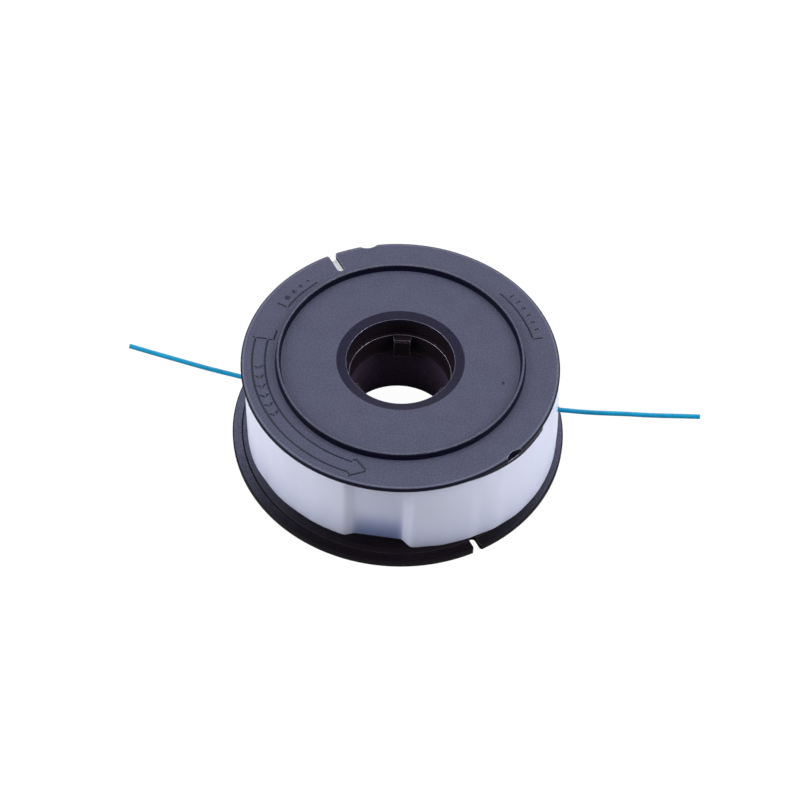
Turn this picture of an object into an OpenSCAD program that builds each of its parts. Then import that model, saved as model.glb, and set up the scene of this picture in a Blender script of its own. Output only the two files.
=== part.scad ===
// Line spool for a grass trimmer: a one-piece moulded spool, the cutting line wound on it,
// the pale strip that holds the winding in, and the two free line ends.
// Origin at the centre of the bottom face, +Z up the spool's axis.

/* [Spool] */
// Height over both flanges, without the ridge on the top face
spool_h = 35; // [28:0.5:45]
// Outer diameter of the top flange
top_flange_d = 98.5; // [96:0.5:104]
// Thickness of the top flange
top_flange_t = 1.6; // [1.2:0.1:2.4]
// Outer diameter of the bottom flange
bottom_flange_d = 106.8; // [104.5:0.1:112]
// Thickness of the bottom flange at its rim
bottom_rim_t = 2.3; // [1.8:0.1:2.6]
// Height of the seat that the strip stands on
seat_h = 3; // [2.8:0.1:4]
// Diameter at which the seat falls to the rim
seat_d = 100.4; // [99:0.2:101.5]
// Rounding of the top flange's edge
top_round = 0.5; // [0.2:0.1:0.7]
// Rounding of the bottom flange's edge
bottom_round = 0.6; // [0.2:0.1:0.8]

/* [Drum] */
// Outer diameter of the drum under the winding
drum_d = 82; // [81:0.2:83]
// Thickness of the drum's wall
drum_wall = 1.8; // [1.2:0.1:2.2]
// Thickness of the top disc
disc_t = 2; // [1.5:0.1:2.6]
// Number of ribs between the drum and the bore tube
rib_count = 8; // [4:1:12]
// Thickness of a rib
rib_t = 1.6; // [1.2:0.1:2.4]
// Height of a rib's lower edge above the bottom face
rib_lift = 1.5; // [0.5:0.1:4]

/* [Ridge] */
// Diameter of the middle of the ridge that stands on the top face
ridge_d = 75.6; // [70:0.2:80]
// Height of the ridge above the top face
ridge_h = 2.1; // [1:0.1:3]
// Width of the ridge at its foot
ridge_foot_w = 1.8; // [1.4:0.1:3]
// Width of the ridge at its crest
ridge_crest_w = 0.9; // [0.8:0.1:1.3]
// Rounding of the crest's edges
ridge_round = 0.2; // [0.1:0.05:0.3]

/* [Bore] */
// Diameter of the lower bore
bore_d = 35.4; // [34:0.1:36.5]
// Thickness of the bore tube's wall
bore_wall = 1.9; // [1.4:0.1:2.4]
// Diameter of the upper bore
upper_bore_d = 33.7; // [33:0.1:34.4]
// Depth of the upper bore below the top face
upper_bore_depth = 7; // [5:0.2:9]
// Diameter of the countersink at the top face
countersink_d = 40; // [37:0.2:44]
// Depth of the countersink
countersink_depth = 0.7; // [0.3:0.1:1.2]
// Inner diameter of the collar that carries the lugs
collar_d = 31.8; // [31:0.1:32.4]
// Height of the collar
collar_h = 8; // [6:0.2:10]
// Number of drive lugs
lug_count = 3; // [2:1:6]
// Reach of a lug inward from the collar
lug_reach = 2.7; // [1.5:0.1:3.5]
// Width of a lug at its tip
lug_tip_w = 5.1; // [3:0.1:6]
// Width of a lug at the collar
lug_root_w = 6.6; // [6:0.1:8]
// Height of a lug
lug_h = 7.3; // [4:0.1:7.6]
// How far a lug's top lies below the collar's ledge
lug_drop = 0.2; // [0.1:0.1:1]
// Chamfer on a lug's upper inner edge
lug_chamfer = 0.5; // [0.2:0.1:0.8]
// Direction of the first lug
lug_angle = 89; // [0:1:359]

/* [Line slots] */
// Width of the slot in each flange
slot_w = 2.3; // [1.6:0.1:2.6]
// Gap between the drum and the top slot's inner end
slot_margin = 0.2; // [0.1:0.1:2]
// Distance from the axis to the bottom slot's inner end
bottom_slot_from = 48.5; // [48:0.1:50]
// Direction of the top flange's slot
top_slot_angle = 119; // [100:0.2:140]
// Direction of the bottom flange's slot
bottom_slot_angle = 299.2; // [290:0.2:310]
// Rounding of a slot mouth's corners
mouth_round = 1.2; // [0.4:0.1:1.4]
// Radius of the two small bites in the top flange's rim
bite_r = 4.5; // [2:0.1:6]
// Depth of a bite
bite_depth = 1.3; // [0.5:0.1:2]
// Direction of the bite at the back
back_bite_angle = 104; // [90:0.5:110]
// Direction of the bite at the front
front_bite_angle = 315; // [305:0.5:325]

/* [Thick rim] */
// Direction at which the thicker part of the top rim starts
lip_from = 293; // [285:1:310]
// Angle that the thicker part spans
lip_span = 40; // [20:0.5:45]
// Angle over which the thicker part grows to its full depth
lip_rise = 32; // [5:1:36]
// How far the thicker part hangs below the flange
lip_t = 3; // [0.6:0.1:3.4]
// Radial width of the thicker part
lip_w = 1.2; // [1:0.1:1.6]

/* [Winding] */
// Diameter of the cutting line
line_d = 1.5; // [1.2:0.05:1.6]
// Clearance between the winding and the drum
winding_gap = 0.1; // [0.05:0.05:0.3]
// Number of lower turns that carry a second layer
second_layer_turns = 6; // [1:1:10]

/* [Strip] */
// Nominal outer diameter of the strip round the winding
strip_d = 98; // [97.5:0.1:99]
// Thickness of the strip
strip_t = 0.5; // [0.3:0.05:0.6]
// Clearance between the strip and the top flange
strip_gap = 0.3; // [0.2:0.05:0.6]
// Distance from the axis to the strip's flat dent
dent_reach = 44.5; // [44.4:0.05:45.5]
// Direction of the dent
dent_angle = 264; // [255:1:275]
// Half of the angle that the dent spans
dent_half = 9.5; // [7:0.5:12]
// Angle over which the dent's corners are rounded
dent_blend = 3.5; // [2:0.5:6]
// Diameter of the hole that each line end passes
tail_hole_d = 2.7; // [2.4:0.1:3.5]

/* [Hidden] */
$fn = 144;
overrun = 1;
arc_steps = 5;
colour_body = [0.30, 0.30, 0.37];
colour_line = [0.10, 0.47, 0.70];
colour_strip = [0.86, 0.88, 0.93];

top_r = top_flange_d / 2;
bottom_r = bottom_flange_d / 2;
drum_r = drum_d / 2;
drum_inner_r = drum_r - drum_wall;
ridge_r = ridge_d / 2;
bore_r = bore_d / 2;
tube_r = bore_r + bore_wall;
upper_bore_r = upper_bore_d / 2;
collar_r = collar_d / 2;
countersink_r = countersink_d / 2;
seat_r = seat_d / 2;
line_r = line_d / 2;

flange_under_z = spool_h - top_flange_t;
disc_under_z = spool_h - disc_t;
crest_z = spool_h + ridge_h;
collar_top_z = spool_h - upper_bore_depth;
collar_bottom_z = collar_top_z - collar_h;

// The seat's edge slopes down to a fine line cut at its foot
seat_slope_share = 2.7;
seat_line_share = 0.33;
seat_foot_share = 0.35;
seat_fall = seat_h - bottom_rim_t;
seat_flat_r = seat_r - seat_fall * seat_slope_share;
seat_line_w = seat_fall * seat_line_share;
seat_line_z = bottom_rim_t - seat_line_w;
seat_foot_z = bottom_rim_t + seat_fall * seat_foot_share;

// The thick part of the rim is set back a little, and a bite leaves most of it standing
lip_inset_share = 0.5;
lip_edge_share = 0.2;
bite_sink_share = 0.15;
lip_outer_r = top_r - top_round * lip_inset_share;
lip_root = top_round * lip_inset_share;
lip_edge = lip_t * lip_edge_share;
lip_rise_len = lip_outer_r * sin(lip_rise);
bite_sink = lip_t * bite_sink_share;

// The shallow recess under the bottom flange leaves an even wall
foot_recess = seat_fall;
foot_recess_inner_r = drum_r + foot_recess;
foot_recess_outer_r = seat_flat_r - foot_recess;

// A quarter or half round, as points of a profile
function arc(x, z, r, from, to) =
    [for (i = [0 : arc_steps]) let (a = from + (to - from) * i / arc_steps) [x + r * cos(a), z + r * sin(a)]];

// The ridge leans inward on both sides and has small chamfers along its crest
function ridge_points() = let (foot = ridge_foot_w / 2, crest = ridge_crest_w / 2) [
    [ridge_r + foot, spool_h], [ridge_r + crest, crest_z - ridge_round],
    [ridge_r + crest - ridge_round, crest_z], [ridge_r - crest + ridge_round, crest_z],
    [ridge_r - crest, crest_z - ridge_round], [ridge_r - foot, spool_h]];

function spool_profile() = concat(
    [[bore_r, 0], [tube_r, 0], [tube_r, disc_under_z]],
    [[drum_inner_r, disc_under_z], [drum_inner_r, 0], [foot_recess_inner_r, 0]],
    [[foot_recess_inner_r + foot_recess, foot_recess], [foot_recess_outer_r - foot_recess, foot_recess]],
    [[foot_recess_outer_r, 0]],
    arc(bottom_r - bottom_round, bottom_round, bottom_round, -90, 0),
    arc(bottom_r - bottom_round, bottom_rim_t - bottom_round, bottom_round, 0, 90),
    [[seat_r + seat_line_w, bottom_rim_t], [seat_r, seat_line_z], [seat_r - seat_line_w, seat_foot_z]],
    [[seat_flat_r, seat_h], [drum_r, seat_h], [drum_r, flange_under_z]],
    arc(top_r - top_round, flange_under_z + top_round, top_round, -90, 0),
    arc(top_r - top_round, spool_h - top_round, top_round, 0, 90),
    ridge_points(),
    [[countersink_r, spool_h], [upper_bore_r, spool_h - countersink_depth], [upper_bore_r, collar_top_z]],
    [[collar_r, collar_top_z], [collar_r, collar_bottom_z], [bore_r, collar_bottom_z]]
);

// One drive lug, drawn along +X: wide at the collar, chamfered at its upper inner edge
module lug() {
    tip_r = collar_r - lug_reach;
    root_r = (bore_r + tube_r) / 2;
    top_z = collar_top_z - lug_drop;
    intersection() {
        translate([0, 0, top_z - lug_h])
            linear_extrude(lug_h)
                polygon([[tip_r, -lug_tip_w / 2], [root_r, -lug_root_w / 2],
                         [root_r, lug_root_w / 2], [tip_r, lug_tip_w / 2]]);
        rotate([90, 0, 0])
            linear_extrude(2 * lug_root_w, center = true)
                polygon([[tip_r, 0], [root_r, 0], [root_r, top_z],
                         [tip_r + lug_chamfer, top_z], [tip_r, top_z - lug_chamfer]]);
    }
}

module ribs() {
    rib_len = drum_inner_r - tube_r;
    for (i = [0 : rib_count - 1])
        rotate([0, 0, (i + 0.5) * 360 / rib_count])
            translate([tube_r - bore_wall / 2, -rib_t / 2, rib_lift])
                cube([rib_len + (bore_wall + drum_wall) / 2, rib_t, disc_under_z + disc_t / 2 - rib_lift]);
}

// A slot drawn along +X: a round inner end, straight sides and a mouth with rounded corners
module slot_plan(inner_r, rim_r) {
    end_r = inner_r + slot_w / 2;
    translate([end_r, 0])
        circle(d = slot_w);
    translate([end_r, -slot_w / 2])
        square([rim_r + overrun - end_r, slot_w]);
    for (side = [-1, 1])
        difference() {
            translate([rim_r - mouth_round, side * (slot_w + mouth_round) / 2 - mouth_round / 2])
                square([mouth_round + overrun, mouth_round]);
            translate([rim_r - mouth_round, side * (slot_w / 2 + mouth_round)])
                circle(mouth_round);
        }
}

module top_cuts() {
    translate([0, 0, flange_under_z - overrun])
        rotate([0, 0, top_slot_angle])
            linear_extrude(top_flange_t + 2 * overrun)
                slot_plan(drum_r + slot_margin, top_r);
    for (a = [back_bite_angle, front_bite_angle])
        rotate([0, 0, a])
            translate([top_r - bite_depth + bite_r, 0, flange_under_z - bite_sink])
                cylinder(h = top_flange_t + bite_sink + overrun, r = bite_r);
}

module bottom_cut() {
    translate([0, 0, -overrun])
        rotate([0, 0, bottom_slot_angle])
            linear_extrude(seat_h + 2 * overrun)
                slot_plan(bottom_slot_from, bottom_r);
}

// The part of the top rim that hangs lower: it grows from nothing and ends in a square step
module lip() {
    root_z = flange_under_z + lip_root;
    rotate([0, 0, lip_from])
        difference() {
            rotate_extrude(angle = lip_span)
                polygon([[lip_outer_r - lip_w, root_z], [lip_outer_r - lip_w, flange_under_z - lip_t],
                         [lip_outer_r - lip_edge, flange_under_z - lip_t],
                         [lip_outer_r, flange_under_z - lip_t + lip_edge], [lip_outer_r, root_z]]);
            translate([lip_outer_r / 2, 0, root_z])
                rotate([-atan2(lip_t + lip_root, lip_rise_len), 0, 0])
                    translate([0, -overrun, -2 * lip_t])
                        cube([lip_outer_r / 2 + overrun, 2 * lip_rise_len, 2 * lip_t]);
        }
}

module spool_body() {
    color(colour_body) {
        difference() {
            union() {
                rotate_extrude()
                    polygon(spool_profile());
                ribs();
                lip();
            }
            top_cuts();
            bottom_cut();
        }
        for (i = [0 : lug_count - 1])
            rotate([0, 0, lug_angle + i * 360 / lug_count])
                lug();
    }
}

// The winding: one layer over the whole drum, and a second on the lower turns
winding_inner_r = drum_r + winding_gap;
winding_h = flange_under_z - seat_h - 2 * winding_gap;
turn_count = floor(winding_h / line_d);
winding_z = seat_h + winding_gap;
turn_pitch = winding_h / turn_count;
layer_step_share = 0.87;
first_layer_r = winding_inner_r + line_r;
second_layer_r = first_layer_r + line_d * layer_step_share;
turn_steps = 6;

function turn_r(i) = i < second_layer_turns ? second_layer_r : first_layer_r;
function turn_points(i) =
    [for (k = [1 : turn_steps - 1]) let (a = -90 + 180 * k / turn_steps)
        [turn_r(i) + line_r * cos(a), winding_z + (i + 0.5) * turn_pitch + turn_pitch / 2 * sin(a)]];
function winding_profile() = concat(
    [[winding_inner_r, winding_z], [turn_r(0), winding_z]],
    [for (i = [0 : turn_count - 1]) each turn_points(i)],
    [[turn_r(turn_count - 1), winding_z + winding_h], [winding_inner_r, winding_z + winding_h]]
);

module line_winding() {
    color(colour_line)
        rotate_extrude()
            polygon(winding_profile());
}

// The strip's outline: its radius as shares of the nominal one, at directions in degrees,
// for its upper and its lower edge. It hangs outward on the side where the lines leave it.
strip_top_shares = [[0, 0.992], [30, 0.988], [60, 0.984], [150, 0.984], [200, 0.984], [215, 0.973], [235, 0.963],
                    [250, 0.957], [280, 0.975], [298, 0.969], [336, 0.969], [348, 0.985], [360, 0.992]];
strip_bottom_shares = [[0, 1.040], [25, 1.015], [60, 0.998], [150, 0.990], [200, 0.990], [215, 0.975], [235, 0.960],
                       [250, 0.955], [280, 0.985], [290, 0.998], [300, 1.009], [310, 1.027], [320, 1.039],
                       [332, 1.045], [345, 1.045], [360, 1.040]];
strip_r = strip_d / 2;
strip_z = seat_h;
strip_h = flange_under_z - strip_gap - strip_z;
strip_sides = 120;
strip_rows = 6;

function ease(t) = let (c = max(0, min(1, t))) c * c * (3 - 2 * c);
function eased_share(table, a) =
    let (i = max([for (k = [0 : len(table) - 2]) if (table[k][0] <= a) k]),
         t = (a - table[i][0]) / (table[i + 1][0] - table[i][0]))
    table[i][1] + (table[i + 1][1] - table[i][1]) * ease(t);
function dent_weight(a) = 1 - ease((abs(a - dent_angle) - dent_half) / dent_blend);
function strip_radius(a, u) =
    let (upper = eased_share(strip_top_shares, a), lower = eased_share(strip_bottom_shares, a),
         open_r = strip_r * (upper + (lower - upper) * (1 - (1 - u) * (1 - u))),
         dent_r = dent_reach / cos(min(dent_half + dent_blend, abs(a - dent_angle))),
         w = dent_weight(a))
    open_r * (1 - w) + dent_r * w;
function strip_ring(row, inset) =
    let (u = 1 - row / strip_rows)
    [for (k = [0 : strip_sides - 1]) let (a = k * 360 / strip_sides, r = strip_radius(a, u) - inset)
        [r * cos(a), r * sin(a), strip_z + strip_h * row / strip_rows]];
function strip_points() = concat(
    [for (row = [0 : strip_rows]) each strip_ring(row, 0)],
    [for (row = [0 : strip_rows]) each strip_ring(row, strip_t)]
);
function strip_faces() =
    let (n = strip_sides, inner = (strip_rows + 1) * n, last = strip_rows * n)
    concat(
        [for (row = [0 : strip_rows - 1]) for (k = [0 : n - 1])
            let (m = (k + 1) % n, b = row * n) each [[b + k, b + n + k, b + n + m], [b + k, b + n + m, b + m]]],
        [for (row = [0 : strip_rows - 1]) for (k = [0 : n - 1])
            let (m = (k + 1) % n, b = inner + row * n) each [[b + k, b + n + m, b + n + k], [b + k, b + m, b + n + m]]],
        [for (k = [0 : n - 1]) let (m = (k + 1) % n) each [[k, m, inner + m], [k, inner + m, inner + k]]],
        [for (k = [0 : n - 1]) let (m = (k + 1) % n, b = last, c = inner + last)
            each [[b + k, c + m, b + m], [b + k, c + k, c + m]]]
    );

// Routes of the free line ends, from where they lie on the winding to their cut ends
tail_left_route = [[-41.3, -13.5, 25], [-42.2, -10.5, 25], [-42.9, -7.4, 25], [-43.5, -5.4, 25], [-44.4, -3.8, 25],
                   [-45.9, -2.6, 25], [-47.6, -1.9, 25], [-50.5, -1.1, 25], [-54.7, 0, 25], [-59.6, 1.3, 25],
                   [-64.4, 2.7, 25], [-69.3, 4.2, 25], [-74.2, 5.7, 25], [-79.1, 7.2, 25], [-85.7, 9.3, 25]];
tail_right_route = [[42.8, 6.8, 21], [43.2, 3.8, 21], [43.4, 0.7, 21], [43.7, -1.4, 21], [44.6, -3.2, 21],
                    [46, -4.7, 21], [47.8, -5.7, 21], [49.8, -6.2, 21], [53.5, -6.5, 21], [58.2, -6.8, 21],
                    [63, -6.9, 21], [67.5, -6.9, 21], [72.2, -6.9, 21], [77, -7, 21], [81.6, -7, 21],
                    [86.3, -6.9, 21], [94, -6.8, 21]];
tail_sides = 8;

function unit(v) = v / norm(v);
function heading(route, i) = unit(route[min(i + 1, len(route) - 1)] - route[max(i - 1, 0)]);
function tail_ring(route, i) =
    let (h = heading(route, i), side = unit(cross(h, [0, 0, 1])), up = cross(side, h))
    [for (k = [0 : tail_sides - 1]) let (a = k * 360 / tail_sides)
        route[i] + line_r * (cos(a) * side + sin(a) * up)];

module tail(route) {
    n = tail_sides;
    last = (len(route) - 1) * n;
    polyhedron(
        points = [for (i = [0 : len(route) - 1]) each tail_ring(route, i)],
        faces = concat(
            [[for (k = [0 : n - 1]) k]],
            [for (i = [0 : len(route) - 2]) for (k = [0 : n - 1]) let (m = (k + 1) % n, b = i * n)
                each [[b + k, b + n + k, b + n + m], [b + k, b + n + m, b + m]]],
            [[for (k = [n - 1 : -1 : 0]) last + k]]
        )
    );
}

// The hole is bored along the line where it crosses the strip
module tail_hole(route, i) {
    h = heading(route, i);
    translate(route[i])
        rotate([0, 90, atan2(h[1], h[0])])
            cylinder(h = 2 * tail_hole_d, d = tail_hole_d, center = true, $fn = 24);
}

module retaining_strip() {
    color(colour_strip)
        difference() {
            polyhedron(points = strip_points(), faces = strip_faces());
            tail_hole(tail_left_route, 6);
            tail_hole(tail_right_route, 7);
        }
}

module line_tail_left() {
    color(colour_line)
        tail(tail_left_route);
}

module line_tail_right() {
    color(colour_line)
        tail(tail_right_route);
}

spool_body();
line_winding();
retaining_strip();
line_tail_left();
line_tail_right();
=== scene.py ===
"""Dresses the trimmer line spool: camera, line ends, finishes, film strip, raised marks, studio.

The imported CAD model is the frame, in metres. The fields of the classes below hold the part's own
lengths in millimetres and its directions in degrees round the spool's axis, from +X to +Y.
"""
from __future__ import annotations

import logging
import math
from dataclasses import dataclass, field
from enum import Enum
from typing import Any, Iterable, Sequence

import bpy
from mathutils import Matrix, Vector

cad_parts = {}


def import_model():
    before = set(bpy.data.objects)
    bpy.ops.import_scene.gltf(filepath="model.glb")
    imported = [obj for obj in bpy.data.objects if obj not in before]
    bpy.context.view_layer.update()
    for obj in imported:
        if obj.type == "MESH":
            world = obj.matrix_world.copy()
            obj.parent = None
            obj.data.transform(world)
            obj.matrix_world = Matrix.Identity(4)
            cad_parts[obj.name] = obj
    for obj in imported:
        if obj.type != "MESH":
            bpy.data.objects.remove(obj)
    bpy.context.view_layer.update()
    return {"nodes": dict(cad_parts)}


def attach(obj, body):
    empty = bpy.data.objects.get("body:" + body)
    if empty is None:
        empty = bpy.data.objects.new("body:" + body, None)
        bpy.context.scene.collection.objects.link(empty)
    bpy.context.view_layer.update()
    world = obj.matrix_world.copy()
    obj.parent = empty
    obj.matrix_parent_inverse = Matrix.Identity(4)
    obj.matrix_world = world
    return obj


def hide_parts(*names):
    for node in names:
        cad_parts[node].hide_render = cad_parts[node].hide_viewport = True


LOG = logging.getLogger("spool")
MM = 0.001
NYLON_IOR = 1.53
NOISE_SPAN = (0.3, 0.7)  # the values that a noise texture really fills
WHITE = (1.0, 1.0, 1.0, 1.0)

Point = tuple[float, float, float]
Span = tuple[float, float]
Socket = bpy.types.NodeSocket
Tree = bpy.types.NodeTree


def linear(code: str) -> tuple[float, float, float, float]:
    """Turn an sRGB hex colour into linear light.

    Args:
        code: Colour as "#rrggbb".

    Returns:
        Linear red, green, blue and an alpha of one.
    """
    parts = [int(code[i:i + 2], 16) / 255 for i in (1, 3, 5)]
    light = [p / 12.92 if p <= 0.04045 else ((p + 0.055) / 1.055) ** 2.4 for p in parts]
    return light[0], light[1], light[2], 1.0


def metres(span: Span) -> Span:
    """Turn a pair of lengths in mm into metres."""
    return span[0] * MM, span[1] * MM


def polar(radius: float, angle: float, height: float) -> Vector:
    """Point at a radius and height in mm and an angle in degrees, in metres."""
    a = math.radians(angle)
    return Vector((radius * math.cos(a), radius * math.sin(a), height)) * MM


def ease(t: float) -> float:
    """Smooth step from 0 to 1."""
    c = max(0.0, min(1.0, t))
    return c * c * (3 - 2 * c)


def add_node(tree: Tree, kind: str, settings: dict[str, Any] | None = None,
             inputs: dict[str | int, Any] | None = None) -> bpy.types.Node:
    """Add one node with its settings, constants and links.

    Args:
        tree: Node tree that gets the node.
        kind: Blender's node type.
        settings: Properties of the node, set by name.
        inputs: Per input socket, a constant or the output socket that feeds it.

    Returns:
        The new node.
    """
    node = tree.nodes.new(kind)
    for name, value in (settings or {}).items():
        setattr(node, name, value)
    for name, value in (inputs or {}).items():
        socket = node.inputs[name]
        if isinstance(value, Socket):
            tree.links.new(value, socket)
        else:
            socket.default_value = value
    return node


def new_material(name: str) -> tuple[bpy.types.Material, Tree]:
    """Make an empty node material and return it with its tree."""
    material = bpy.data.materials.new(name)
    material.use_nodes = True
    material.node_tree.nodes.clear()
    return material, material.node_tree


def object_place(tree: Tree) -> Socket:
    """Object coordinates, in metres."""
    return add_node(tree, "ShaderNodeTexCoord").outputs["Object"]


def ramp(tree: Tree, value: Socket, low: float, high: float,
         to_low: float = 0.0, to_high: float = 1.0) -> Socket:
    """Map a value smoothly from one range to another and clamp it.

    Args:
        tree: Node tree that gets the node.
        value: Socket to read.
        low: Value that gives to_low.
        high: Value that gives to_high.
        to_low: Result at and below low.
        to_high: Result at and above high.

    Returns:
        The mapped value's socket.
    """
    node = add_node(tree, "ShaderNodeMapRange", {"interpolation_type": "SMOOTHSTEP"}, {
        "Value": value, "From Min": low, "From Max": high, "To Min": to_low, "To Max": to_high})
    return node.outputs["Result"]


def vary(tree: Tree, noise: Socket, to: Span) -> Socket:
    """Spread a noise value over another range."""
    return ramp(tree, noise, *NOISE_SPAN, *to)


def calculate(tree: Tree, operation: str, *values: Any) -> Socket:
    """Apply one of the Math node's operations to constants or sockets."""
    node = add_node(tree, "ShaderNodeMath", {"operation": operation}, dict(enumerate(values)))
    return node.outputs[0]


def blend_value(tree: Tree, factor: Socket, a: Any, b: Any) -> Socket:
    """Blend two numbers, constants or sockets, by the share of b."""
    node = add_node(tree, "ShaderNodeMix", {"data_type": "FLOAT"}, {0: factor, 2: a, 3: b})
    return node.outputs[0]


def blend_colour(tree: Tree, factor: Socket, a: Any, b: Any) -> Socket:
    """Blend two colours, constants or sockets, by the share of b."""
    node = add_node(tree, "ShaderNodeMix", {"data_type": "RGBA"}, {0: factor, 6: a, 7: b})
    return node.outputs[2]


def dot_product(tree: Tree, a: Socket, b: Socket) -> Socket:
    """Dot product of two vectors."""
    node = add_node(tree, "ShaderNodeVectorMath", {"operation": "DOT_PRODUCT"}, {0: a, 1: b})
    return node.outputs["Value"]


def split(tree: Tree, vector: Socket) -> Any:
    """Outputs X, Y and Z of a vector."""
    return add_node(tree, "ShaderNodeSeparateXYZ", inputs={0: vector}).outputs


def from_axis(tree: Tree, parts: Any) -> tuple[Socket, Socket]:
    """Vector from the spool's axis in plan, and its length."""
    spoke = add_node(tree, "ShaderNodeCombineXYZ", inputs={0: parts["X"], 1: parts["Y"]}).outputs[0]
    reach = add_node(tree, "ShaderNodeVectorMath", {"operation": "LENGTH"}, {0: spoke})
    return spoke, reach.outputs["Value"]


def finish_surface(tree: Tree, inputs: dict[str | int, Any]) -> None:
    """End a material in one Principled shader."""
    shade = add_node(tree, "ShaderNodeBsdfPrincipled", inputs=inputs)
    add_node(tree, "ShaderNodeOutputMaterial", inputs={"Surface": shade.outputs[0]})


@dataclass(frozen=True)
class Pattern:
    """Noise on Object coordinates, with the real size of its features."""

    size_mm: float
    detail: float = 2.0
    roughness: float = 0.5
    distortion: float = 0.0

    def build(self, tree: Tree, place: Socket) -> Socket:
        """Add the noise texture and return its value."""
        node = add_node(tree, "ShaderNodeTexNoise", inputs={
            "Vector": place, "Scale": 1 / (self.size_mm * MM), "Detail": self.detail,
            "Roughness": self.roughness, "Distortion": self.distortion})
        return node.outputs["Fac"]


@dataclass(frozen=True)
class Relief:
    """How strongly and how deep a pattern raises the surface."""

    strength: float
    depth_mm: float

    def build(self, tree: Tree, height: Socket, normal: Socket | None = None) -> Socket:
        """Add the bump and return the surface's normal."""
        inputs = {"Strength": self.strength, "Distance": self.depth_mm * MM, "Height": height}
        if normal is not None:
            inputs["Normal"] = normal
        return add_node(tree, "ShaderNodeBump", inputs=inputs).outputs["Normal"]


@dataclass(frozen=True)
class Zones:
    """Sockets that say where on the moulding a point lies, mostly as shares from 0 to 1."""

    y: Socket
    z: Socket
    reach: Socket
    rounded: Socket
    top: Socket
    lower: Socket
    on_face: Socket
    on_edge: Socket


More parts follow.
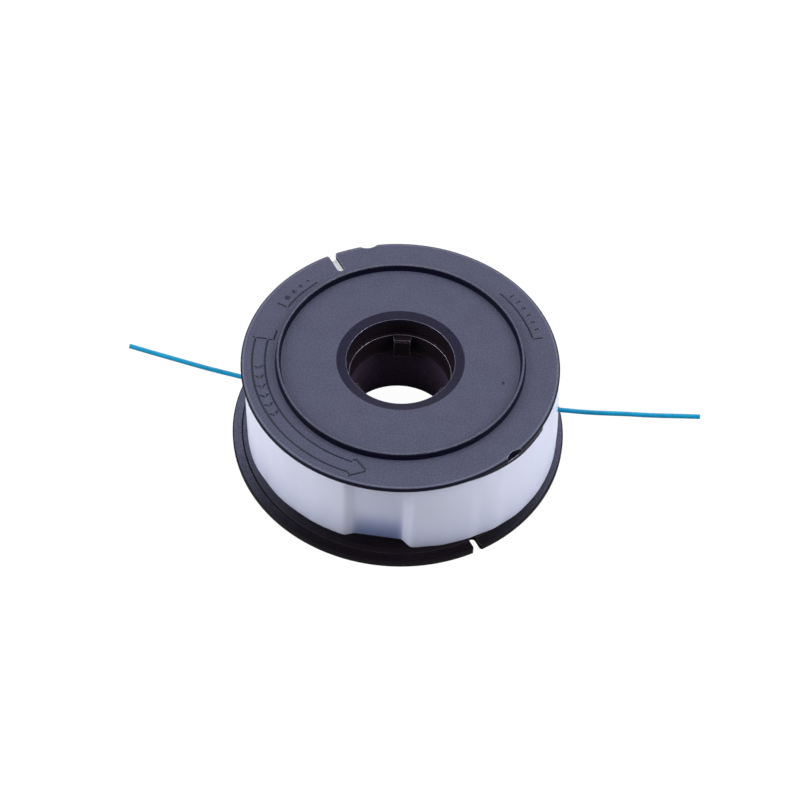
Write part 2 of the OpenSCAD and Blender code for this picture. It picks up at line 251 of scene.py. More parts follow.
@dataclass(frozen=True)
class MouldedNylon:
    """Black glass-filled nylon, injection moulded in a spark-eroded mould.

    The upward faces carry the mould's fine grain, which scatters light; their charcoal blue,
    against the walls' near black, is partly painted sheen, that scattered light given as colour
    where the normal faces up.
    The walls, the bore and the flange edges left a polished tool and read nearly black;
    the bore's lower part is painted lighter, for light that the floor casts up into it.
    Handling has polished the convex edges, which shine more; their paler colour is a painted
    highlight, and the face's outermost ring is a little paler, also a painted highlight.
    A pair of heights or radii is where a smooth change of finish starts and ends.
    """

    name: str = "moulded_nylon"
    # face, cool_face and lower_face: partly painted sheen, lighter than the walls on faces that
    # face up
    face: str = "#414156"
    cool_face: str = "#3f4154"
    # rim: painted highlight, a paler band along the face's outer edge
    rim: str = "#5e5e70"
    lower_face: str = "#4c4d5e"
    # lower_front_shade: painted shade, the lower flange's face darker towards the front
    lower_front_shade: str = "#0d080e"
    wall: str = "#09091d"
    lower_wall: str = "#110d14"
    cone: str = "#1a182b"
    bore: str = "#1c151c"
    # deep_bore_bounce_light: painted light, the lower bore lighter for light from the floor
    deep_bore_bounce_light: str = "#54465c"
    # edge: paler colour on convex edges, a painted highlight
    edge: str = "#9a9aae"
    face_z: Span = (34.93, 34.99)
    lower_z: Span = (6.0, 7.0)
    front_shade_y: Span = (-48.0, -6.0)
    bore_z: Span = (32.9, 33.0)
    deep_bounce_z: Span = (15.0, 23.0)
    bore_r: Span = (18.2, 18.5)
    cone_r: Span = (20.2, 20.4)
    rim_highlight_r: float = 48.4
    rim_highlight_w: float = 0.36
    rim_highlight_share: float = 0.8
    edge_mm: float = 0.3
    concave_mm: float = 0.5
    samples: int = 8
    turned: Span = (0.8, 0.985)  # cosine of the rounded normal: on an edge, on a flat
    open_air: Span = (0.85, 0.98)  # in a corner, on an outward edge
    upward: Span = (0.88, 0.995)  # upward part of the normal: on a wall, on a face
    lower_edge_share: float = 0.22
    grain: Pattern = Pattern(0.5, 3.0, 0.6)  # really about 0.1 mm, drawn coarser so that it shows
    mottle: Pattern = Pattern(7.0, 4.0, 0.55)  # patches of uneven cooling, some millimetres wide
    flow: Pattern = Pattern(24.0, distortion=0.8)  # flow marks, a few across the flange
    flow_span: Span = (0.35, 0.65)
    mottle_tone: Span = (0.95, 1.05)
    flow_tone: Span = (0.98, 1.02)
    grain_tone: Span = (0.7, 1.3)
    grain_gloss: Span = (0.92, 1.08)
    relief: Relief = Relief(0.35, 0.03)
    face_roughness: float = 0.46
    wall_roughness: float = 0.36
    edge_roughness: float = 0.28
    face_shine: float = 0.1
    wall_shine: float = 0.05
    edge_shine: float = 1.0

    def _zones(self, tree: Tree, place: Socket) -> Zones:
        """Find the faces, walls and outward edges."""
        parts = split(tree, place)
        lower_z = metres(self.lower_z)
        rounded = add_node(tree, "ShaderNodeBevel", {"samples": self.samples}, {
            "Radius": self.edge_mm * MM}).outputs["Normal"]
        flat = add_node(tree, "ShaderNodeNewGeometry").outputs["True Normal"]
        air = add_node(tree, "ShaderNodeAmbientOcclusion", {
            "samples": self.samples, "only_local": True}, {
            "Distance": self.concave_mm * MM}).outputs["AO"]
        on_edge = calculate(
            tree, "MULTIPLY", ramp(tree, dot_product(tree, rounded, flat), *self.turned, 1.0, 0.0),
            ramp(tree, air, *self.open_air))
        on_edge = calculate(tree, "MULTIPLY", on_edge,
                            ramp(tree, parts["Z"], *lower_z, self.lower_edge_share, 1.0))
        top = ramp(tree, parts["Z"], *metres(self.face_z))
        lower = ramp(tree, parts["Z"], *lower_z, 1.0, 0.0)
        on_face = calculate(tree, "MULTIPLY", calculate(tree, "ADD", top, lower),
                            ramp(tree, split(tree, flat)["Z"], *self.upward))
        return Zones(parts["Y"], parts["Z"], from_axis(tree, parts)[1], rounded, top, lower,
                     on_face, on_edge)

    def _colour(self, tree: Tree, zones: Zones, flow: Socket) -> Socket:
        """Colour of faces, walls, bore and edges, before the patterns' tones."""
        face = blend_colour(tree, ramp(tree, flow, *self.flow_span),
                            linear(self.face), linear(self.cool_face))
        # Painted highlight: a paler band round the face's outer edge.
        off_rim_highlight = calculate(tree, "ABSOLUTE",
                            calculate(tree, "SUBTRACT", zones.reach, self.rim_highlight_r * MM))
        face = blend_colour(tree, ramp(tree, off_rim_highlight, 0.0, self.rim_highlight_w * MM, self.rim_highlight_share, 0.0),
                            face, linear(self.rim))
        # Painted shade: the lower flange's face darkens towards the front.
        lower = blend_colour(tree, ramp(tree, zones.y, *metres(self.front_shade_y)),
                             linear(self.lower_front_shade), linear(self.lower_face))
        face = blend_colour(tree, zones.lower, face, lower)
        wall = blend_colour(tree, ramp(tree, zones.reach, *metres(self.cone_r)),
                            linear(self.cone), linear(self.wall))
        wall = blend_colour(tree, zones.lower, wall, linear(self.lower_wall))
        # Painted light: the bore lightens towards its lower end, for light from the floor.
        bore = blend_colour(tree, ramp(tree, zones.z, *metres(self.deep_bounce_z)),
                            linear(self.deep_bore_bounce_light), linear(self.bore))
        in_bore = calculate(tree, "MULTIPLY",
                            ramp(tree, zones.reach, *metres(self.bore_r), 1.0, 0.0),
                            ramp(tree, zones.z, *metres(self.bore_z), 1.0, 0.0))
        wall = blend_colour(tree, in_bore, wall, bore)
        # Faces that face up take the lighter face colour: painted sheen, besides the real grain.
        colour = blend_colour(tree, zones.on_face, wall, face)
        # Convex edges take the paler edge colour, a painted highlight; their higher shine set below
        # is real polish.
        return blend_colour(tree, zones.on_edge, colour, linear(self.edge))

    def build(self) -> bpy.types.Material:
        """Make the material from Object coordinates."""
        material, tree = new_material(self.name)
        place = object_place(tree)
        zones = self._zones(tree, place)
        grain = self.grain.build(tree, place)
        mottle = self.mottle.build(tree, place)
        flow = self.flow.build(tree, place)
        colour = self._colour(tree, zones, flow)
        tones = ((mottle, self.mottle_tone), (flow, self.flow_tone), (grain, self.grain_tone))
        for pattern, tone in tones:
            colour = add_node(tree, "ShaderNodeVectorMath", {"operation": "SCALE"}, {
                0: colour, "Scale": vary(tree, pattern, tone)}).outputs[0]
        rough = blend_value(tree, zones.on_face, self.wall_roughness, self.face_roughness)
        rough = blend_value(tree, zones.on_edge, rough, self.edge_roughness)
        shine = blend_value(tree, zones.top, self.wall_shine, self.face_shine)
        shine = blend_value(tree, zones.on_edge, shine, self.edge_shine)
        finish_surface(tree, {
            "Base Color": colour, "IOR": NYLON_IOR, "Specular IOR Level": shine,
            "Roughness": calculate(tree, "MULTIPLY", rough, vary(tree, grain, self.grain_gloss)),
            "Normal": self.relief.build(tree, grain, zones.rounded)})
        return material


@dataclass(frozen=True)
class TrimmerLine:
    """Extruded copolymer nylon line: saturated blue, smooth and waxy, with faint draw marks."""

    name: str = "trimmer_line_nylon"
    colour: str = "#008bb5"
    deep: str = "#00709a"
    turn_mm: float = 1.51  # height of one turn on the drum
    turn_share: float = 0.35
    streak: Pattern = Pattern(4.2, 4.0, 0.65)  # changes of tone along the line
    streak_share: Span = (0.0, 0.4)
    draw: Pattern = Pattern(0.7)  # marks of the extrusion die, under a millimetre
    relief: Relief = Relief(0.25, 0.02)
    roughness: Span = (0.25, 0.38)
    shine: float = 0.15

    def build(self) -> bpy.types.Material:
        """Make the material; each turn has its own slight tone."""
        material, tree = new_material(self.name)
        place = object_place(tree)
        turn = calculate(tree, "FLOOR", calculate(
            tree, "DIVIDE", split(tree, place)["Z"], self.turn_mm * MM))
        chance = add_node(tree, "ShaderNodeTexWhiteNoise", {"noise_dimensions": "1D"}, {"W": turn})
        share = calculate(tree, "MULTIPLY_ADD", chance.outputs["Value"], self.turn_share,
                          vary(tree, self.streak.build(tree, place), self.streak_share))
        draw = self.draw.build(tree, place)
        finish_surface(tree, {
            "Base Color": blend_colour(tree, share, linear(self.colour), linear(self.deep)),
            "IOR": NYLON_IOR, "Specular IOR Level": self.shine,
            "Roughness": vary(tree, draw, self.roughness),
            "Normal": self.relief.build(tree, draw)})
        return material


@dataclass(frozen=True)
class MilkyFilm:
    """Low-density polyethylene strip: milky, waxy, with the line's blue painted where it touches
    it, for the line seen through the film.

    Its inner side scatters more and deeper than its outer side, for the light that passes through.
    """

    name: str = "milky_film_polyethylene"
    milk: str = "#d5d8f6"
    cloudy: str = "#c9cfea"
    # foot: the strip bluer towards its bottom, also painted for the line seen through the film
    foot: str = "#c4cbf1"
    # blue: painted light, the line seen through the film where the film lies on it
    blue: str = "#8290ba"
    touch_r: Span = (44.75, 45.6)
    touch_z: Span = (4.0, 17.0)
    touch_share: Span = (1.0, 0.12)
    foot_z: Span = (5.0, 20.0)
    foot_share: Span = (0.5, 0.0)
    cloud: Pattern = Pattern(18.0, 4.0)  # thicker and thinner places, some centimetres apart
    cloud_share: Span = (0.0, 0.8)
    wave: Pattern = Pattern(3.0, 3.0)  # ripples of the drawn film, a few millimetres wide
    stretch: Point = (1.0, 1.0, 0.35)  # both patterns run along the height
    relief: Relief = Relief(0.2, 0.05)
    facing: Span = (-4.0, 4.0)  # true normal times place: inner side, outer side
    scatter: Span = (0.7, 1.0)
    depth_mm: Span = (1.5, 7.0)
    spread: Point = (1.0, 1.0, 1.0)
    roughness: Span = (0.32, 0.46)
    ior: float = 1.51
    shine: float = 0.4

    def build(self) -> bpy.types.Material:
        """Make the material; the blue follows the strip's distance from the winding."""
        material, tree = new_material(self.name)
        place = object_place(tree)
        parts = split(tree, place)
        spoke, reach = from_axis(tree, parts)
        touch = calculate(tree, "MULTIPLY", ramp(tree, reach, *metres(self.touch_r), 1.0, 0.0),
                          ramp(tree, parts["Z"], *metres(self.touch_z), *self.touch_share))
        drawn = add_node(tree, "ShaderNodeMapping", inputs={
            "Vector": place, "Scale": self.stretch}).outputs[0]
        wave = self.wave.build(tree, drawn)
        colour = blend_colour(
            tree, vary(tree, self.cloud.build(tree, drawn), self.cloud_share),
            linear(self.milk), linear(self.cloudy))
        foot = ramp(tree, parts["Z"], *metres(self.foot_z), *self.foot_share)
        colour = blend_colour(tree, foot, colour, linear(self.foot))
        # Painted: the line's blue seen through the film, strongest low on the strip.
        colour = blend_colour(tree, touch, colour, linear(self.blue))
        flat = add_node(tree, "ShaderNodeNewGeometry").outputs["True Normal"]
        inner = ramp(tree, dot_product(tree, flat, spoke), *metres(self.facing), 1.0, 0.0)
        finish_surface(tree, {
            "Base Color": colour, "IOR": self.ior, "Specular IOR Level": self.shine,
            "Subsurface Weight": ramp(tree, inner, 0.0, 1.0, *self.scatter),
            "Subsurface Radius": self.spread,
            "Subsurface Scale": ramp(tree, inner, 0.0, 1.0, *metres(self.depth_mm)),
            "Roughness": vary(tree, wave, self.roughness),
            "Normal": self.relief.build(tree, wave)})
        return material


def clear_selection() -> None:
    """Leave edit mode and deselect everything."""
    if bpy.context.object and bpy.context.object.mode != "OBJECT":
        bpy.ops.object.mode_set(mode="OBJECT")
    bpy.ops.object.select_all(action="DESELECT")


def activate(obj: bpy.types.Object) -> None:
    """Make one object the only selected and active one."""
    clear_selection()
    obj.select_set(True)
    bpy.context.view_layer.objects.active = obj


def settle(obj: bpy.types.Object, name: str) -> bpy.types.Object:
    """Put an object's place into its mesh and name it.

    Args:
        obj: Object to settle.
        name: Piece name.

    Returns:
        The same object, at the origin.
    """
    activate(obj)
    bpy.ops.object.transform_apply(location=True, rotation=True, scale=True)
    obj.name = name
    obj.data.name = name
    return obj


def dress(obj: bpy.types.Object, material: bpy.types.Material) -> None:
    """Give an object one material in every slot."""
    if obj.material_slots:
        for slot in obj.material_slots:
            slot.material = material
    else:
        obj.data.materials.append(material)


def apply_modifiers(obj: bpy.types.Object) -> None:
    """Apply every modifier in order."""
    activate(obj)
    for name in [m.name for m in obj.modifiers]:
        bpy.ops.object.modifier_apply(modifier=name)


@dataclass
class PhotoCamera:
    """Camera that stands where the photograph's camera stood, found from the rims' ellipses."""

    place_mm: Point = (0.30, -330.78, 432.65)
    right: Point = (0.9992, 0.03135, 0.02482)
    up: Point = (-0.03999, 0.78345, 0.62017)
    back: Point = (0.0, -0.62067, 0.78407)
    focal_px: float = 1677.92
    frame_px: float = 800.0
    sensor_mm: float = 36.0
    clip_m: Span = (0.01, 20.0)

    def build(self) -> bpy.types.Object:
        """Add the camera and make it the scene's."""
        turn = Matrix((self.right, self.up, self.back)).transposed()
        bpy.ops.object.camera_add(
            location=[c * MM for c in self.place_mm], rotation=turn.to_euler())
        camera = bpy.context.object
        camera.name = "photo_camera"
        camera.data.sensor_width = self.sensor_mm
        camera.data.lens = self.focal_px / self.frame_px * self.sensor_mm
        camera.data.clip_start, camera.data.clip_end = self.clip_m
        camera.data.dof.use_dof = False
        bpy.context.scene.camera = camera
        return camera


LEFT_ROUTE: tuple[Point, ...] = (
    (-41.3, -13.5, 25), (-42.2, -10.5, 25), (-42.9, -7.4, 25), (-43.5, -5.4, 25),
    (-44.4, -3.8, 25), (-45.9, -2.6, 25), (-47.6, -1.9, 25), (-50.5, -1.1, 25),
    (-54.7, 0, 25), (-59.6, 1.3, 25), (-64.4, 2.7, 25), (-69.3, 4.2, 25),
    (-74.2, 5.7, 25), (-79.1, 7.2, 25), (-85.7, 9.3, 25))
RIGHT_ROUTE: tuple[Point, ...] = (
    (42.8, 6.8, 21), (43.2, 3.8, 21), (43.4, 0.7, 21), (43.7, -1.4, 21), (44.6, -3.2, 21),
    (46, -4.7, 21), (47.8, -5.7, 21), (49.8, -6.2, 21), (53.5, -6.5, 21), (58.2, -6.8, 21),
    (63, -6.9, 21), (67.5, -6.9, 21), (72.2, -6.9, 21), (77, -7, 21), (81.6, -7, 21),
    (86.3, -6.9, 21), (94, -6.8, 21))


@dataclass
class LineEnd:
    """One free end of the cutting line, along the route of its CAD solid."""

    node: str
    route: tuple[Point, ...]
    line_d: float = 1.5
    round_steps: int = 6
    run_steps: int = 8

    def build(self, material: bpy.types.Material) -> bpy.types.Object:
        """Args:
            material: The line's finish.

        Returns:
            The curve object.
        """
        points = [Vector(p) * MM for p in self.route]
        data = bpy.data.curves.new(self.node + "_run", "CURVE")
        data.dimensions = "3D"
        data.bevel_depth = self.line_d / 2 * MM
        data.bevel_resolution = self.round_steps
        data.resolution_u = self.run_steps
        data.use_fill_caps = True
        spline = data.splines.new("BEZIER")
        spline.bezier_points.add(len(points) - 1)
        for knot, point in zip(spline.bezier_points, points):
            knot.co = point
            knot.handle_left_type = knot.handle_right_type = "AUTO"
        end = bpy.data.objects.new(self.node + "_run", data)
        bpy.context.scene.collection.objects.link(end)
        end.data.materials.append(material)
        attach(end, "root")
        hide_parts(self.node)
        return end


@dataclass
class FilmStrip:
    """The pale strip round the winding: it leans outward on one side and is dented at the front.

    The tables upper and lower hold the radius of the strip's two edges as shares of nominal_r,
    at directions in degrees. Behind the thick part of the rim the strip stays inside lip_clear_r.
    """

    nominal_r: float = 49.0
    bottom_z: float = 3.0
    top_z: float = 33.1
    thick: float = 0.5
    sides: int = 360
    rows: int = 24
    dent_reach: float = 44.5
    dent_angle: float = 263.7
    dent_half: float = 9.0
    dent_blend: float = 4.4
    lip_clear_r: float = 47.65
    lip_from: float = 302.0
    lip_from_blend: float = 10.0
    lip_to: float = 333.5
    lip_to_blend: float = 4.0
    lip_depth_share: float = 0.1
    lip_depth_blend: float = 0.15
    hole_d: float = 2.7
    hole_sides: int = 40
    hole_cut: float = 8.0
    holes: tuple[tuple[Point, Point], ...] = (
        (LEFT_ROUTE[5], LEFT_ROUTE[7]), (RIGHT_ROUTE[6], RIGHT_ROUTE[8]))
    smooth_angle: float = 35.0
    upper: tuple[Span, ...] = (
        (0, 0.992), (30, 0.988), (60, 0.984), (150, 0.984), (200, 0.984), (215, 0.973),
        (235, 0.963), (250, 0.957), (280, 0.975), (298, 0.969), (336, 0.969), (348, 0.985),
        (360, 0.992))
    lower: tuple[Span, ...] = (
        (0, 1.040), (25, 1.015), (60, 0.998), (150, 0.990), (200, 0.990), (215, 0.975),
        (235, 0.960), (250, 0.955), (280, 0.985), (290, 0.998), (300, 1.009), (310, 1.027),
        (320, 1.039), (332, 1.045), (345, 1.045), (360, 1.040))

    @staticmethod
    def _share(table: Sequence[Span], angle: float) -> float:
        """Eased value of a table at an angle in degrees."""
        for (a0, s0), (a1, s1) in zip(table, table[1:]):
            if angle <= a1:
                return s0 + (s1 - s0) * ease((angle - a0) / (a1 - a0))
        return table[-1][1]

    def radius(self, angle: float, u: float) -> float:
        """Outer radius in mm.

        Args:
            angle: Direction in degrees, 0 to 360.
            u: Share of the way down, 0 at the top edge and 1 at the bottom.

        Returns:
            The radius in mm.
        """
        upper, lower = self._share(self.upper, angle), self._share(self.lower, angle)
        free = self.nominal_r * (upper + (lower - upper) * (1 - (1 - u) ** 2))
        by_lip = (ease((angle - self.lip_from) / self.lip_from_blend)
                  * (1 - ease((angle - self.lip_to) / self.lip_to_blend))
                  * (1 - ease((u - self.lip_depth_share) / self.lip_depth_blend)))
        free -= max(0.0, free - self.lip_clear_r) * by_lip
        off = abs(angle - self.dent_angle)
        slant = min(self.dent_half + self.dent_blend, off)
        dent = self.dent_reach / math.cos(math.radians(slant))
        weight = 1 - ease((off - self.dent_half) / self.dent_blend)
        return free * (1 - weight) + dent * weight

    def _tube(self) -> bpy.types.Object:
        """Make an open tube with even rows and give each vertex its radius."""
        clear_selection()
        height = self.top_z - self.bottom_z
        bpy.ops.mesh.primitive_cylinder_add(
            vertices=self.sides, radius=self.nominal_r * MM, depth=height * MM,
            end_fill_type="NOTHING", location=(0, 0, (self.bottom_z + self.top_z) / 2 * MM))
        strip = settle(bpy.context.object, "film_strip")
        bpy.ops.object.mode_set(mode="EDIT")
        for row in range(1, self.rows):
            bpy.ops.mesh.select_all(action="SELECT")
            bpy.ops.mesh.bisect(
                plane_co=(0, 0, (self.bottom_z + height * row / self.rows) * MM),
                plane_no=(0, 0, 1))
        bpy.ops.object.mode_set(mode="OBJECT")
        for vertex in strip.data.vertices:
            angle = math.degrees(math.atan2(vertex.co.y, vertex.co.x)) % 360
            z = vertex.co.z / MM
            vertex.co = polar(self.radius(angle, (self.top_z - z) / height), angle, z)
        return strip

    def _cut_holes(self, strip: bpy.types.Object) -> None:
        """Bore the two holes that the line ends pass, along each line."""
        for first, last in self.holes:
            a, b = Vector(first) * MM, Vector(last) * MM
            turn = (b - a).to_track_quat("Z", "Y").to_euler()
            clear_selection()
            bpy.ops.mesh.primitive_cylinder_add(
                vertices=self.hole_sides, radius=self.hole_d / 2 * MM, depth=self.hole_cut * MM,
                location=(a + b) / 2, rotation=turn)
            cutter = bpy.context.object
            activate(strip)
            cut = strip.modifiers.new("line_hole", "BOOLEAN")
            cut.operation, cut.solver, cut.object = "DIFFERENCE", "EXACT", cutter
            bpy.ops.object.modifier_apply(modifier=cut.name)
            bpy.data.objects.remove(cutter, do_unlink=True)

    def build(self, material: bpy.types.Material) -> bpy.types.Object:
        """Model the strip from a tube and let it stand for its CAD solid.

        Args:
            material: The strip's finish.

        Returns:
            The strip.
        """
        strip = self._tube()
        wall = strip.modifiers.new("film", "SOLIDIFY")
        wall.thickness, wall.offset, wall.use_even_offset = self.thick * MM, -1.0, True
        apply_modifiers(strip)
        self._cut_holes(strip)
        activate(strip)
        bpy.ops.object.shade_smooth_by_angle(angle=math.radians(self.smooth_angle))
        dress(strip, material)
        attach(strip, "root")
        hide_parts("retaining_strip")
        LOG.info("%s: %d faces", strip.name, len(strip.data.polygons))
        return strip


@dataclass(frozen=True)
class Bracket:
    """An arc on the flange from one direction to another, with a foot towards the rim."""

    radius: float
    first: float
    last: float
    foot_angle: float
    foot_radius: float


@dataclass
class RaisedMarks:
    """Plain marks moulded on the top flange: an arrow, two brackets, chevrons, dots and ticks."""

    top_z: float = 35.0
    bead_r: float = 0.32
    sink: float = 0.12
    bead_sides: int = 10
    arc_step: float = 2.0
    arc_least: int = 4
    weld: float = 0.001
    dot_sides: int = 24
    dot_bevel_share: float = 0.45
    smooth_angle: float = 40.0
    shaft_inner: float = 41.8
    shaft_outer: float = 45.7
    tail_angle: float = 171.6
    tail_from: float = 165.6
    tail_inward: float = 1.7
    tail_outward: float = 1.1
    neck_angle: float = 252.4
    tip_angle: float = 258.6
    head_half: float = 3.4
    chevron_from: float = 186.0
    chevron_step: float = 5.0
    chevron_half: float = 1.3
    chevron_rise: float = 1.9
    left: Bracket = Bracket(41.2, 131.5, 151.8, 151.8, 45.0)
    right: Bracket = Bracket(42.3, 14.2, 43.6, 14.2, 45.6)
    dots_r: float = 43.6
    dots_from: float = 134.6
    dots_step: float = 4.2
    dot_sizes: tuple[float, ...] = (0.9, 1.2, 1.5, 1.8)
    ticks_r: Span = (43.6, 45.6)
    ticks_from: float = 19.0
    ticks_step: float = 4.0
    repeats: int = 6
    gate: Point = (32.5, -13.9, 1.1)  # radius, direction and size of the gate mark
    made: list[bpy.types.Object] = field(default_factory=list)

    def _bead(self, start: Vector, along: Vector) -> None:
        """Add the bead's round section at a point, facing along its run, and edit it."""
        clear_selection()
        bpy.ops.mesh.primitive_circle_add(
            vertices=self.bead_sides, radius=self.bead_r * MM, fill_type="NGON", location=start,
            rotation=along.to_track_quat("Z", "Y").to_euler())
        bpy.ops.object.transform_apply(location=True, rotation=True, scale=True)
        bpy.ops.object.mode_set(mode="EDIT")
        bpy.ops.mesh.select_all(action="SELECT")

    def _finish(self) -> None:
        """Close the bead in hand and keep it."""
        bpy.ops.mesh.select_all(action="SELECT")
        bpy.ops.mesh.remove_doubles(threshold=self.weld * MM)
        bpy.ops.mesh.select_all(action="DESELECT")
        bpy.ops.mesh.select_non_manifold()
        bpy.ops.mesh.edge_face_add()
        bpy.ops.mesh.select_all(action="SELECT")
        bpy.ops.mesh.normals_make_consistent(inside=False)
        bpy.ops.object.mode_set(mode="OBJECT")
        self.made.append(bpy.context.object)

    def arc(self, radius: float, first: float, last: float) -> None:
        """Sweep a bead round the axis between two directions."""
        z = self.top_z - self.sink
        start = polar(radius, first, z)
        self._bead(start, Vector((-start.y, start.x, 0)).normalized())
        steps = max(self.arc_least, int(abs(last - first) / self.arc_step))
        bpy.ops.mesh.spin(steps=steps, angle=-math.radians(last - first),
                          center=(0, 0, z * MM), axis=(0, 0, 1))
        self._finish()

    def stroke(self, first: Span, last: Span) -> None:
        """Draw a straight bead between two (radius, direction) points."""
        z = self.top_z - self.sink
        a, b = polar(*first, z), polar(*last, z)
        self._bead(a, b - a)
        bpy.ops.mesh.extrude_region_move(TRANSFORM_OT_translate={"value": b - a})
        self._finish()

    def dot(self, radius: float, angle: float, size: float) -> None:
        """Raise a small round pad with a bevelled edge."""
        clear_selection()
        height = self.bead_r
        bpy.ops.mesh.primitive_cylinder_add(
            vertices=self.dot_sides, radius=size / 2 * MM, depth=height * MM,
            location=polar(radius, angle, self.top_z - self.sink + height / 2))
        pad = bpy.context.object
        bpy.ops.object.transform_apply(location=True, rotation=True, scale=True)
        edge = pad.modifiers.new("edge", "BEVEL")
        edge.width, edge.segments = height * self.dot_bevel_share * MM, 2
        apply_modifiers(pad)
        self.made.append(pad)

    def arrow(self) -> None:
        """Outline the direction arrow on the left of the flange, with chevrons in its shaft."""
        middle = (self.shaft_inner + self.shaft_outer) / 2
        tail_inner = self.shaft_inner - self.tail_inward
        self.arc(self.shaft_outer, self.tail_angle, self.neck_angle)
        self.arc(self.shaft_inner, self.tail_angle, self.neck_angle)
        self.stroke((tail_inner, self.tail_angle),
                    (self.shaft_outer + self.tail_outward, self.tail_angle))
        self.arc(tail_inner, self.tail_from, self.tail_angle)
        for side, rim in ((-1, self.shaft_inner), (1, self.shaft_outer)):
            wing = middle + side * self.head_half
            self.stroke((rim, self.neck_angle), (wing, self.neck_angle))
            self.stroke((wing, self.neck_angle), (middle, self.tip_angle))
        for i in range(self.repeats):
            angle = self.chevron_from + i * self.chevron_step
            for side in (-1, 1):
                self.stroke((middle + side * self.chevron_half, angle),
                            (middle, angle + self.chevron_rise))

    def bracket(self, shape: Bracket) -> None:
        """Outline one bracket."""
        self.arc(shape.radius, shape.first, shape.last)
        self.stroke((shape.radius, shape.foot_angle), (shape.foot_radius, shape.foot_angle))

    def build(self, material: bpy.types.Material) -> bpy.types.Object:
        """Model all the marks and join them to one piece.

        Args:
            material: The marks' finish.

        Returns:
            The joined marks.
        """
        self.arrow()
        self.bracket(self.left)
        for i, size in enumerate(self.dot_sizes):
            self.dot(self.dots_r, self.dots_from + i * self.dots_step, size)
        self.bracket(self.right)
        for i in range(self.repeats):
            angle = self.ticks_from + i * self.ticks_step
            self.stroke((self.ticks_r[0], angle), (self.ticks_r[1], angle))
        self.dot(*self.gate)
        activate(self.made[0])
        for mark in self.made:
            mark.select_set(True)
        bpy.ops.object.join()
        marks = settle(bpy.context.object, "raised_marks")
        bpy.ops.object.shade_smooth_by_angle(angle=math.radians(self.smooth_angle))
        dress(marks, material)
        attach(marks, "root")
        LOG.info("%s: %d faces", marks.name, len(marks.data.polygons))
        return marks


class Side(Enum):
    """Where a soft box stands, as azimuth and elevation in degrees."""

    BACK = (88.0, 52.0)
    BACKDROP = (93.0, 14.0)
    LEFT = (189.0, 34.0)
    RIGHT = (-4.0, 36.0)
    TOP = (90.0, 72.0)


@dataclass(frozen=True)
class SoftBox:
    """One soft white area lamp aimed at the spool: power in watts, size and distance in metres."""

    side: Side
    power: float
    size: float = 0.7
    reach: float = 1.1

    def build(self) -> None:
        """Add the lamp, facing the spool."""
        azimuth, height = (math.radians(a) for a in self.side.value)
        away = Vector((math.cos(azimuth) * math.cos(height),
                       math.sin(azimuth) * math.cos(height), math.sin(height)))
        bpy.ops.object.light_add(type="AREA", location=away * self.reach,
                                 rotation=away.to_track_quat("Z", "Y").to_euler())
        lamp = bpy.context.object
        lamp.name = "soft_box_" + self.side.name.lower()
        lamp.data.shape = "SQUARE"
        lamp.data.size = self.size
        lamp.data.energy = self.power


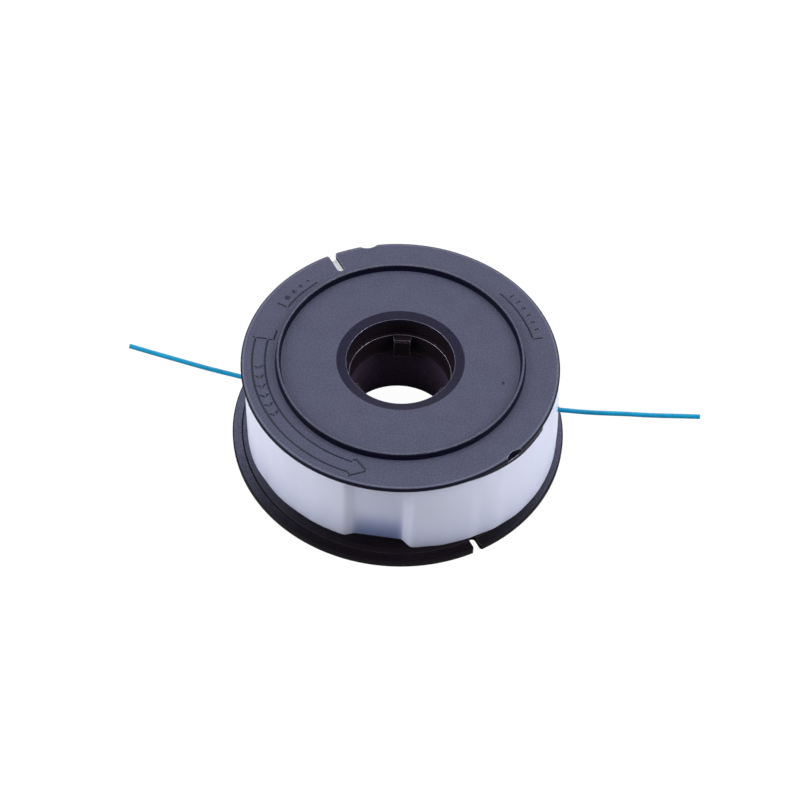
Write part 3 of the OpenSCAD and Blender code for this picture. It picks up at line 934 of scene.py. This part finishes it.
@dataclass
class Studio:
    """Plain pale floor, even world light and soft boxes."""

    world_light: float = 0.19
    floor_size_m: float = 6.0
    floor_drop: float = 0.02
    paper: float = 0.6
    paper_glow: float = 1.06
    glow_share: float = 0.92
    boxes: tuple[SoftBox, ...] = (
        SoftBox(Side.BACK, 2.1), SoftBox(Side.BACKDROP, 3.0), SoftBox(Side.LEFT, 10.0),
        SoftBox(Side.RIGHT, 10.2), SoftBox(Side.TOP, 4.2))

    @staticmethod
    def _seen(tree: Tree) -> tuple[Any, Socket]:
        """Light path outputs, and whether a ray comes straight or through from the camera."""
        path = add_node(tree, "ShaderNodeLightPath").outputs
        seen = calculate(tree, "MAXIMUM", path["Is Camera Ray"], path["Is Transmission Ray"])
        return path, seen

    def _world(self) -> None:
        """White to the camera and in reflections, even soft light otherwise."""
        world = bpy.data.worlds.new("studio")
        world.use_nodes = True
        tree = world.node_tree
        tree.nodes.clear()
        path, seen = self._seen(tree)
        strength = add_node(tree, "ShaderNodeMapRange", inputs={
            "Value": calculate(tree, "MAXIMUM", seen, path["Is Glossy Ray"]),
            "To Min": self.world_light, "To Max": 1.0})
        glow = add_node(tree, "ShaderNodeBackground", inputs={
            "Color": WHITE, "Strength": strength.outputs["Result"]})
        add_node(tree, "ShaderNodeOutputWorld", inputs={"Surface": glow.outputs[0]})
        bpy.context.scene.world = world

    def _floor(self) -> None:
        """Lay a white floor that keeps a faint shadow."""
        clear_selection()
        bpy.ops.mesh.primitive_plane_add(
            size=self.floor_size_m, location=(0, 0, -self.floor_drop * MM))
        floor = bpy.context.object
        floor.name = "floor"
        material, tree = new_material("white_paper_floor")
        _, seen = self._seen(tree)
        paper = add_node(tree, "ShaderNodeBsdfDiffuse", inputs={
            "Color": (self.paper, self.paper, self.paper, 1.0)})
        glow = add_node(tree, "ShaderNodeEmission", inputs={
            "Color": WHITE, "Strength": self.paper_glow})
        mixed = add_node(tree, "ShaderNodeMixShader", inputs={
            0: calculate(tree, "MULTIPLY", seen, self.glow_share),
            1: paper.outputs[0], 2: glow.outputs[0]})
        add_node(tree, "ShaderNodeOutputMaterial", inputs={"Surface": mixed.outputs[0]})
        dress(floor, material)

    def build(self) -> None:
        """Set the stage up."""
        self._world()
        self._floor()
        for box in self.boxes:
            box.build()
        bpy.context.scene.view_settings.view_transform = "Standard"


def main() -> None:
    """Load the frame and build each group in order."""
    logging.basicConfig(level=logging.INFO, format="%(name)s %(message)s")
    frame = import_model()
    line = TrimmerLine().build()
    PhotoCamera().build()
    LineEnd("line_tail_left", LEFT_ROUTE).build(line)
    LineEnd("line_tail_right", RIGHT_ROUTE).build(line)
    dress(frame["nodes"]["spool_body"], MouldedNylon().build())
    dress(frame["nodes"]["line_winding"], line)
    FilmStrip().build(MilkyFilm().build())
    # The marks get darker face colours than the flange: painted shade, for their shaded flanks.
    RaisedMarks().build(
        MouldedNylon(name="moulded_marks", face="#1c1c2e", cool_face="#1c1e2d").build())
    Studio().build()
    bpy.context.view_layer.update()


if __name__ == "__main__":
    main()
